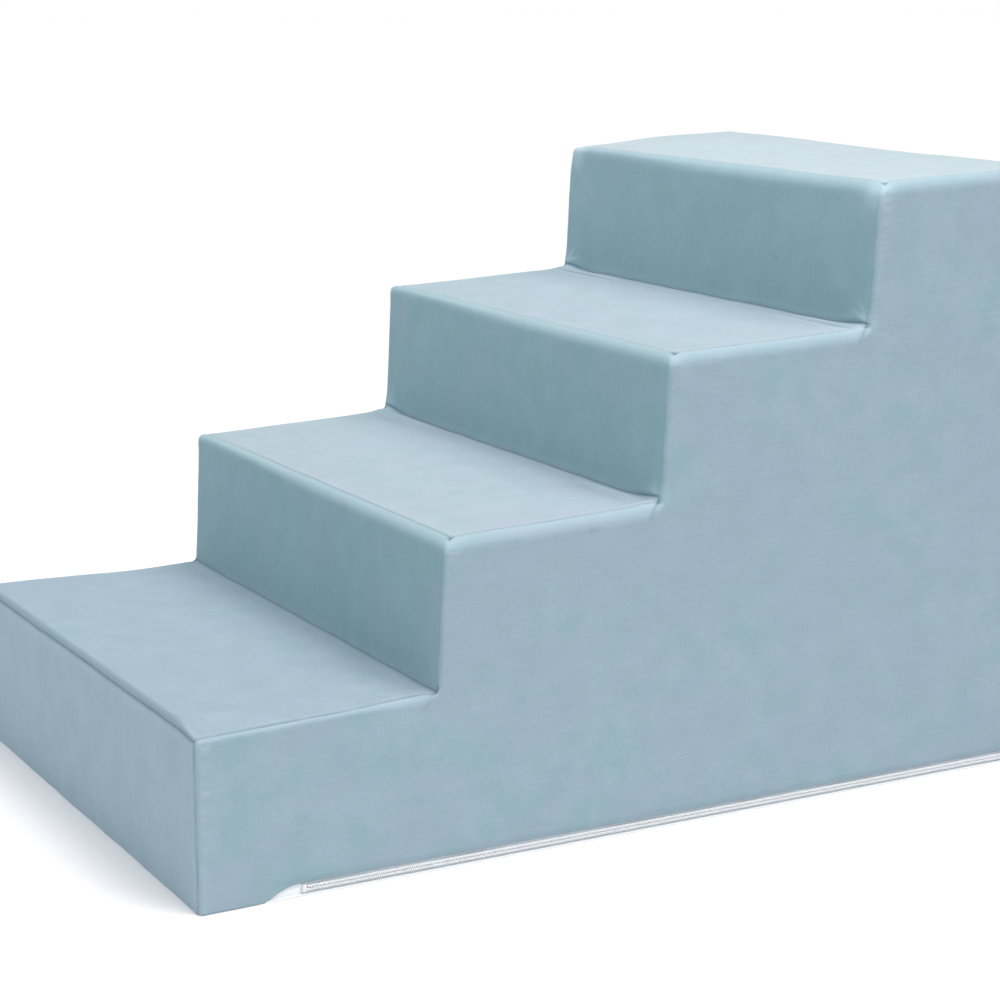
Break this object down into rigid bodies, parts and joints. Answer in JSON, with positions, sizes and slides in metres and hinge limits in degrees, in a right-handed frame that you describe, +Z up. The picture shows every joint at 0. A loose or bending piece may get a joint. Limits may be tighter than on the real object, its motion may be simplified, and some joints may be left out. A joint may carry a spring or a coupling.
{
  "type": "pet stairs",
  "caption": "Foam pet stairs with soft rounded steps in a removable plush cover, closed by a zip that runs round the base.",
  "frame": {"origin": "middle of the footprint, on the floor", "axes": "+Y in the climbing direction, towards the back; +X to the climber's right, which is the side that the picture shows; +Z up"},
  "size_m": [0.3835, 0.61, 0.3996],
  "materials": {
    "cover_plush": "short-pile dusty blue plush with a soft mottled nap",
    "base_cloth": "plain white woven non-slip cloth",
    "foam": "open-cell foam",
    "grip_rubber": "matt printed rubber",
    "zip_tape": "white herringbone tape",
    "zip_coil": "white nylon coil",
    "zip_metal": "white enamelled zinc",
    "zip_pull": "white enamelled zinc"
  },
  "bodies": {
    "stairs": {"foam_base_slab": "foam", "foam_second_slab": "foam", "foam_third_slab": "foam", "foam_top_slab": "foam", "side_panel_right": "cover_plush", "side_panel_left": "cover_plush", "riser_panel_1": "cover_plush", "riser_panel_2": "cover_plush", "riser_panel_3": "cover_plush", "riser_panel_4": "cover_plush", "tread_panel_1": "cover_plush", "tread_panel_2": "cover_plush", "tread_panel_3": "cover_plush", "tread_panel_4": "cover_plush", "back_panel": "cover_plush", "base_panel": "base_cloth", "grip_dots": "grip_rubber", "zipper_tape_upper": "zip_tape", "zipper_tape_lower": "zip_tape", "zipper_coil_upper": "zip_coil", "zipper_coil_lower": "zip_coil", "zipper_top_stops": "zip_metal", "zipper_bottom_stop": "zip_metal"},
    "slider": {"zipper_slider": "zip_metal"},
    "pull": {"zipper_pull": "zip_pull"}
  },
  "joints": [
    {"name": "zipper_slide", "type": "slide", "parent": "stairs", "child": "slider", "axis": [0, 1, 0], "range_m": [0, 0.525]},
    {"name": "pull_swing", "type": "hinge", "parent": "slider", "child": "pull", "pos_m": [-0.19175, -0.2337, 0.00455], "axis": [0, 0, 1], "range_deg": [0, 170]}
  ]
}
